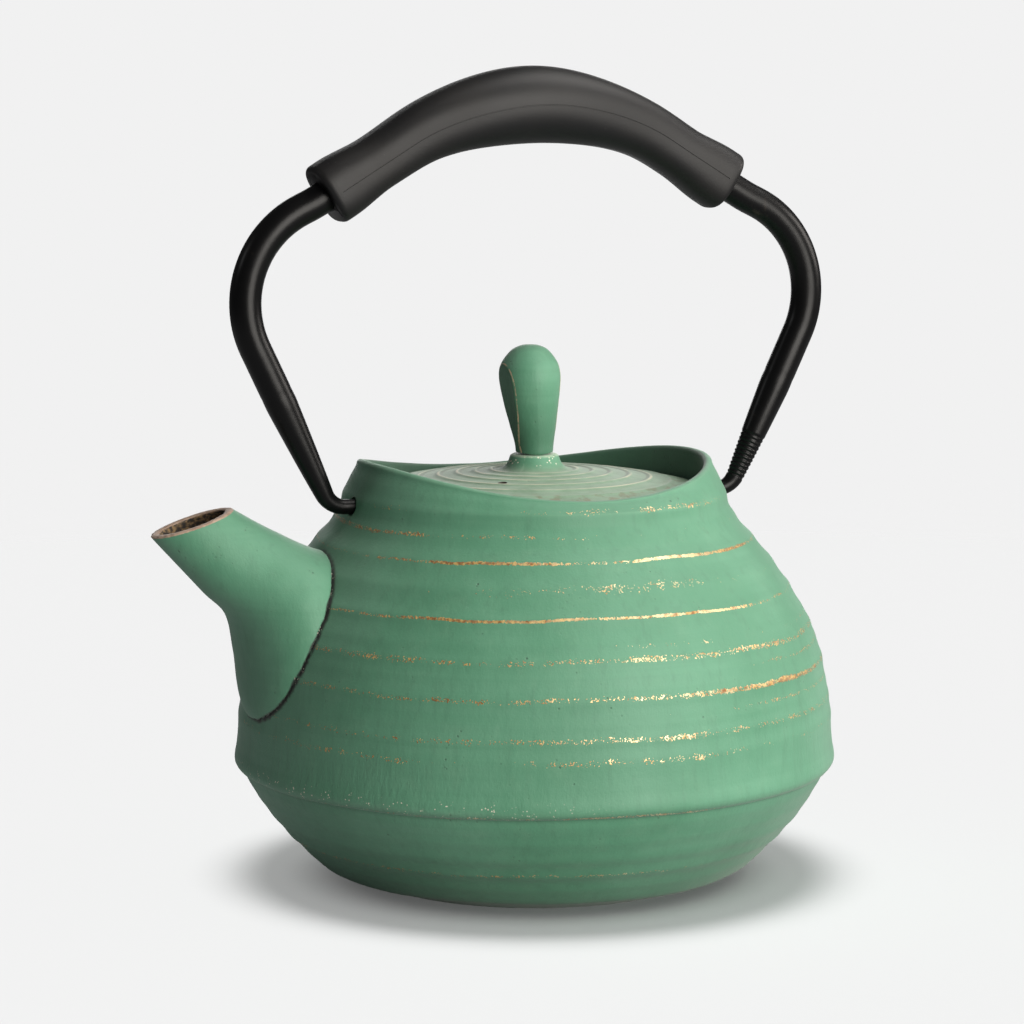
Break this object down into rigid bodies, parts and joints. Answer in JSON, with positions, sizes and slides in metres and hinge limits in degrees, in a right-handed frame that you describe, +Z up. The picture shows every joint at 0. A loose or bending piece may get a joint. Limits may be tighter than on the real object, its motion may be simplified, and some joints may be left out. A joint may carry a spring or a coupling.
{
  "type": "cast iron teapot",
  "caption": "Cast-iron teapot with a flanged round belly, saddle rim, slanted spout, ringed lid with drop knob, mesh infuser and swinging bail handle with a soft grip.",
  "frame": {"origin": "centre of the pot's base, on the surface it stands on", "axes": "+Z up; the spout points along -X; the handle stands in the XZ plane and its pivot line runs along X"},
  "size_m": [0.1776, 0.1504, 0.2013],
  "materials": {
    "green_iron": "matte green paint over sand-cast iron, with ridges rubbed through to gold",
    "fastener_steel": "turned, slightly dull",
    "stainless_sheet": "satin",
    "stainless_mesh": "fine woven mesh",
    "black_steel": "semi-gloss black",
    "black_silicone": "matte moulded silicone"
  },
  "bodies": {
    "pot": {"pot_body": "green_iron", "spout": "green_iron"},
    "infuser": {"infuser_rim": "stainless_sheet", "infuser_wall": "stainless_mesh", "infuser_hem": "stainless_sheet", "infuser_base": "stainless_mesh"},
    "lid": {"lid": "green_iron", "knob": "green_iron", "knob_stud": "fastener_steel", "knob_washer": "fastener_steel", "knob_nut": "fastener_steel"},
    "handle": {"handle_bail": "black_steel", "handle_grip": "black_silicone"}
  },
  "joints": [
    {"name": "handle_swing", "type": "hinge", "parent": "pot", "child": "handle", "pos_m": [0, 0, 0.0945], "axis": [1, 0, 0], "range_deg": [-118, 118]},
    {"name": "infuser_lift", "type": "slide", "parent": "pot", "child": "infuser", "axis": [0, 0, 1], "range_m": [0, 0.046]},
    {"name": "lid_lift", "type": "slide", "parent": "infuser", "child": "lid", "axis": [0, 0, 1], "range_m": [0, 0.046]}
  ]
}
